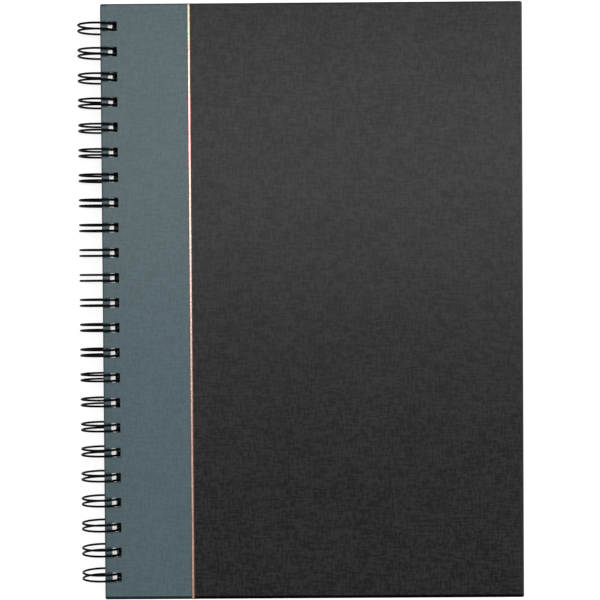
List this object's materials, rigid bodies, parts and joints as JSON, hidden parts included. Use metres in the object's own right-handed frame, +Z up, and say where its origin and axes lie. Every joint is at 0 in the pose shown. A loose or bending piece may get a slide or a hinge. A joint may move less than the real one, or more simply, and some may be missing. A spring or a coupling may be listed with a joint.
{
  "type": "wire-bound notebook",
  "caption": "Hardcover linen notebook with a lighter spine strip, copper foil line and black twin-loop wire; both covers turn about the wire.",
  "frame": {"origin": "under the middle of the whole, at the level of the wire loops' lowest points", "axes": "+X from the wire to the fore-edge, +Y from tail to head, +Z up, out of the front cover"},
  "size_m": [0.2256, 0.302, 0.0212],
  "materials": {
    "cover_linen": "matt fine linen weave",
    "spine_linen": "matt fine linen weave",
    "foil": "satin copper foil",
    "greyboard": "matt grey pulp board",
    "endpaper": "matt uncoated paper",
    "sheets": "matt uncoated paper",
    "wire": "gloss black coating"
  },
  "bodies": {
    "binding": {"wire_binding": "wire", "page_block": "sheets"},
    "front_cover": {"front_board": "greyboard", "front_cover_cloth": "cover_linen", "front_spine_strip": "spine_linen", "front_foil_line": "foil", "front_endpaper": "endpaper"},
    "back_cover": {"back_board": "greyboard", "back_cover_cloth": "cover_linen", "back_spine_strip": "spine_linen", "back_endpaper": "endpaper"}
  },
  "joints": [
    {"name": "front_cover_hinge", "type": "hinge", "parent": "binding", "child": "front_cover", "pos_m": [-0.10221, 0, 0.01058], "axis": [0, -1, 0], "range_deg": [0, 180]},
    {"name": "back_cover_hinge", "type": "hinge", "parent": "binding", "child": "back_cover", "pos_m": [-0.10221, 0, 0.01058], "axis": [0, 1, 0], "range_deg": [0, 180]}
  ]
}
